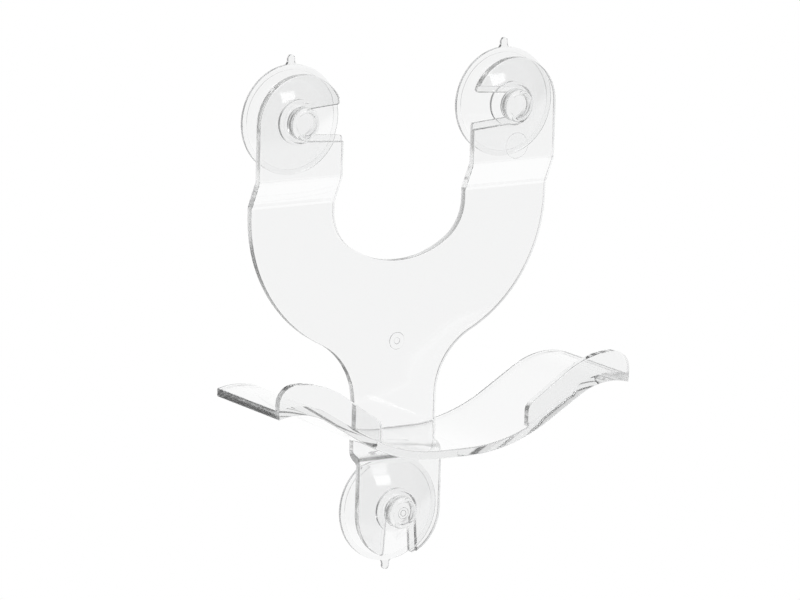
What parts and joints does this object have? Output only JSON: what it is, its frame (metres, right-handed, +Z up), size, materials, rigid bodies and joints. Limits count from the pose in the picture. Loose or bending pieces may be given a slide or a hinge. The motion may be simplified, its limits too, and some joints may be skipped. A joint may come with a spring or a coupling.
{
  "type": "wall-mounted headphone stand",
  "caption": "Clear moulded headphone hanger: a forked plate on suction cups with a wavy saddle and lipped front edge for the headband.",
  "frame": {"origin": "on the wall plane, halfway between the axes of the two upper suction cups", "axes": "+Z up, +Y into the wall, -Y out of the front where the saddle points, +X to the right seen from the front"},
  "size_m": [0.1486, 0.0463, 0.1945],
  "materials": {
    "clear_rigid_plastic": "clear, glossy injection-moulded plastic, such as polystyrene or polycarbonate",
    "clear_soft_plastic": "clear, glossy, soft flexible PVC"
  },
  "bodies": {
    "bracket": {"bracket": "clear_rigid_plastic"},
    "cup_left": {"suction_cup_left": "clear_soft_plastic"},
    "cup_right": {"suction_cup_right": "clear_soft_plastic"},
    "cup_bottom": {"suction_cup_bottom": "clear_soft_plastic"}
  },
  "joints": [
    {"name": "left_cup_slide", "type": "slide", "parent": "bracket", "child": "cup_left", "axis": [1, 0, 0], "range_m": [0, 0.022]},
    {"name": "right_cup_slide", "type": "slide", "parent": "bracket", "child": "cup_right", "axis": [-1, 0, 0], "range_m": [0, 0.022]},
    {"name": "bottom_cup_slide", "type": "slide", "parent": "bracket", "child": "cup_bottom", "axis": [0, 0, -1], "range_m": [0, 0.022]}
  ]
}
